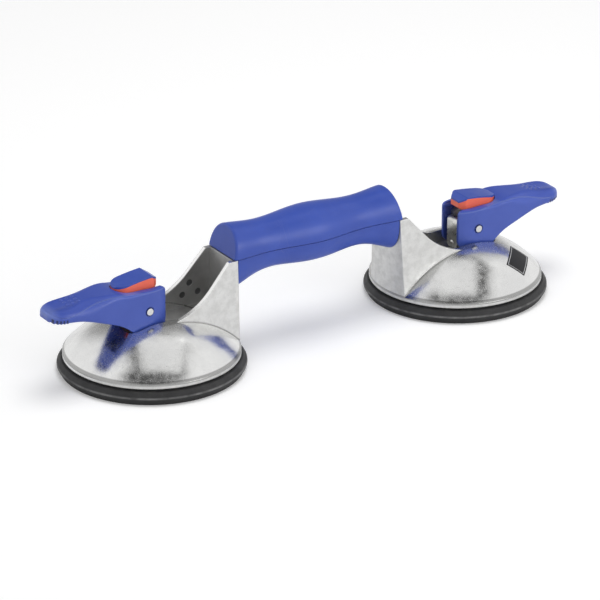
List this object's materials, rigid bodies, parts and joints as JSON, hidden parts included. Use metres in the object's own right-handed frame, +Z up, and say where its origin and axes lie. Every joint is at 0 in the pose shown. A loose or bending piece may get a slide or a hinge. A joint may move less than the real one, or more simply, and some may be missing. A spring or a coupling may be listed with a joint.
{
  "type": "suction lifter",
  "caption": "Two-cup suction lifter for floor tiles: cast cup housings on rubber pads, a plastic grip between them and hinged clamp levers with latch buttons.",
  "frame": {"origin": "midway between the two cups, on the surface the pads stand on", "axes": "+X along the grip from the left cup to the right cup, +Y across the grip, +Z up"},
  "size_m": [0.383, 0.12, 0.0844],
  "materials": {
    "cast_aluminium": "shot-blasted casting, rubbed bright on the dome",
    "black_rubber": "matt moulded rubber",
    "blue_plastic": "satin moulded plastic",
    "red_plastic": "satin moulded plastic",
    "zinc_steel": "zinc-plated steel",
    "steel_pins": "ground steel",
    "spring_steel": "drawn spring wire"
  },
  "bodies": {
    "frame": {"left_cup_housing": "cast_aluminium", "left_suction_pad": "black_rubber", "left_lever_pin": "steel_pins", "left_stud_spring": "spring_steel", "right_cup_housing": "cast_aluminium", "right_suction_pad": "black_rubber", "right_lever_pin": "steel_pins", "right_stud_spring": "spring_steel", "handle_upper_shell": "blue_plastic", "handle_lower_shell": "blue_plastic", "handle_bar": "zinc_steel", "bar_screws": "steel_pins", "shell_screws": "steel_pins"},
    "left_lever_arm": {"left_lever": "blue_plastic", "left_link_pin": "steel_pins", "left_button_pin": "steel_pins", "left_button_spring": "spring_steel"},
    "left_latch": {"left_button_cap": "blue_plastic", "left_button_latch": "red_plastic"},
    "left_lifter": {"left_pad_stud": "zinc_steel", "left_stirrup": "zinc_steel", "left_stirrup_rivet": "zinc_steel"},
    "right_lever_arm": {"right_lever": "blue_plastic", "right_link_pin": "steel_pins", "right_button_pin": "steel_pins", "right_button_spring": "spring_steel"},
    "right_latch": {"right_button_cap": "blue_plastic", "right_button_latch": "red_plastic"},
    "right_lifter": {"right_pad_stud": "zinc_steel", "right_stirrup": "zinc_steel", "right_stirrup_rivet": "zinc_steel"}
  },
  "joints": [
    {"name": "left_lever_hinge", "type": "hinge", "parent": "frame", "child": "left_lever_arm", "pos_m": [-0.12379, 0, 0.0445], "axis": [0, 1, 0], "range_deg": [0, 35]},
    {"name": "left_stud_slide", "type": "slide", "parent": "frame", "child": "left_lifter", "axis": [0, 0, 1], "range_m": [-0.00542, 0], "deforming": ["left_stud_spring", "left_suction_pad"]},
    {"name": "left_button_press", "type": "hinge", "parent": "left_lever_arm", "child": "left_latch", "pos_m": [-0.124, 0, 0.0553], "axis": [0, 1, 0], "range_deg": [0, 6], "stiffness_Nm_per_rad": 0.3, "springref_deg": -5.73, "deforming": ["left_button_spring"]},
    {"name": "right_lever_hinge", "type": "hinge", "parent": "frame", "child": "right_lever_arm", "pos_m": [0.12379, 0, 0.0445], "axis": [0, -1, 0], "range_deg": [0, 35]},
    {"name": "right_stud_slide", "type": "slide", "parent": "frame", "child": "right_lifter", "axis": [0, 0, 1], "range_m": [-0.00542, 0], "deforming": ["right_stud_spring", "right_suction_pad"]},
    {"name": "right_button_press", "type": "hinge", "parent": "right_lever_arm", "child": "right_latch", "pos_m": [0.124, 0, 0.0553], "axis": [0, -1, 0], "range_deg": [0, 6], "stiffness_Nm_per_rad": 0.3, "springref_deg": -5.73, "deforming": ["right_button_spring"]}
  ],
  "couplings": [
    {"joint": "left_stud_slide", "follows": "left_lever_hinge", "m_per_rad": -0.0088607},
    {"joint": "right_stud_slide", "follows": "right_lever_hinge", "m_per_rad": -0.0088607}
  ]
}
